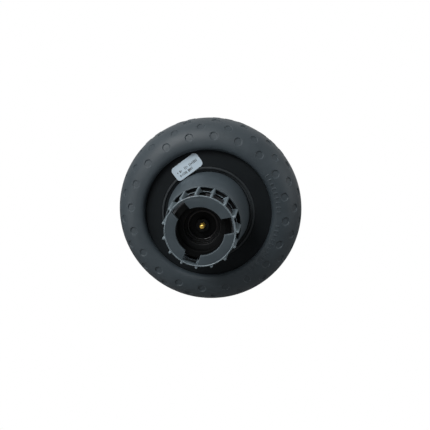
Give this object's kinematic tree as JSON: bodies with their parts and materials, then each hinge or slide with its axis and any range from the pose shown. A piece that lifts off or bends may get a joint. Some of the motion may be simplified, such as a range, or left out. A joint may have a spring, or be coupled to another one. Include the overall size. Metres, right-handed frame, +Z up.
{
  "type": "hub motor wheel",
  "caption": "Direct-drive hub motor wheel with a dimpled solid tyre, a fixed conical nose and a bayonet lock ring around a centre contact socket.",
  "frame": {"origin": "centre of the barrel's mouth, where a mating spigot enters, on the wheel's axle", "axes": "-Y along the axle out of the nose, +Y into the wheel, +Z up"},
  "size_m": [0.15, 0.112, 0.15],
  "materials": {
    "tyre_rubber": "matte moulded rubber",
    "hub_black": "satin black",
    "nose_grey": "fine-textured moulded grey plastic",
    "ring_grey": "moulded grey plastic, edges polished by use",
    "dark_plastic": "moulded black plastic",
    "seal_rubber": "soft black rubber",
    "label_film": "printed pale film",
    "gold_contact": "gold-plated",
    "brass": "turned",
    "black_nickel": "black nickel plated",
    "shaft_steel": "ground",
    "bearing_steel": "polished",
    "screw_steel": "zinc plated",
    "cover_metal": "black powder coat",
    "core_steel": "laminated steel",
    "magnet": "nickel plated",
    "copper": "enamelled copper wire",
    "carrier_alloy": "cast and turned",
    "board": "solder mask",
    "package": "moulded epoxy",
    "wire_red": "insulated lead",
    "wire_black": "insulated lead"
  },
  "bodies": {
    "axle": {"axle_circlip": "screw_steel", "axle_shaft": "shaft_steel", "barrel_o_ring": "seal_rubber", "board_screws": "screw_steel", "board_spacers": "brass", "capacitors": "package", "contact_barrel": "brass", "contact_insulator": "dark_plastic", "contact_spring": "screw_steel", "controller_board": "board", "controller_chip": "package", "flange_screws": "screw_steel", "front_bearing_inner": "bearing_steel", "hall_sensors": "package", "lock_circlip": "shaft_steel", "nose_housing": "nose_grey", "positive_lead": "wire_red", "rear_bearing_inner": "bearing_steel", "return_contact": "black_nickel", "return_lead": "wire_black", "slot_insulators": "dark_plastic", "stator_carrier": "carrier_alloy", "stator_core": "core_steel", "stop_pin": "shaft_steel", "transistors": "package", "windings": "copper"},
    "lock_ring": {"lock_ring": "ring_grey"},
    "contact_pin": {"contact_pin": "gold_contact"},
    "wheel": {"tyre": "tyre_rubber", "hub_shell": "hub_black", "rotor_ring": "core_steel", "magnets": "magnet", "back_cover": "cover_metal", "cover_gasket": "seal_rubber", "cover_screws": "screw_steel", "hub_cap": "dark_plastic", "nose_seal": "seal_rubber", "label": "label_film", "front_bearing_outer": "bearing_steel", "rear_bearing_outer": "bearing_steel"},
    "front_cage": {"front_bearing_cage": "brass", "front_bearing_balls": "bearing_steel"},
    "rear_cage": {"rear_bearing_cage": "brass", "rear_bearing_balls": "bearing_steel"}
  },
  "joints": [
    {"name": "wheel_spin", "type": "hinge", "parent": "axle", "child": "wheel", "pos_m": [0, 0.077, 0], "axis": [0, 1, 0], "continuous": true},
    {"name": "lock_ring_turn", "type": "hinge", "parent": "axle", "child": "lock_ring", "pos_m": [0, 0, 0], "axis": [0, -1, 0], "range_deg": [0, 60]},
    {"name": "contact_press", "type": "slide", "parent": "axle", "child": "contact_pin", "axis": [0, 1, 0], "range_m": [0, 0.0025], "stiffness_N_per_m": 400, "springref_m": -0.0015, "deforming": ["contact_spring"]},
    {"name": "front_cage_spin", "type": "hinge", "parent": "axle", "child": "front_cage", "pos_m": [0, 0.069, 0], "axis": [0, 1, 0], "continuous": true},
    {"name": "rear_cage_spin", "type": "hinge", "parent": "axle", "child": "rear_cage", "pos_m": [0, 0.091, 0], "axis": [0, 1, 0], "continuous": true}
  ],
  "couplings": [
    {"joint": "front_cage_spin", "follows": "wheel_spin", "ratio": 0.59154},
    {"joint": "rear_cage_spin", "follows": "wheel_spin", "ratio": 0.59154}
  ]
}
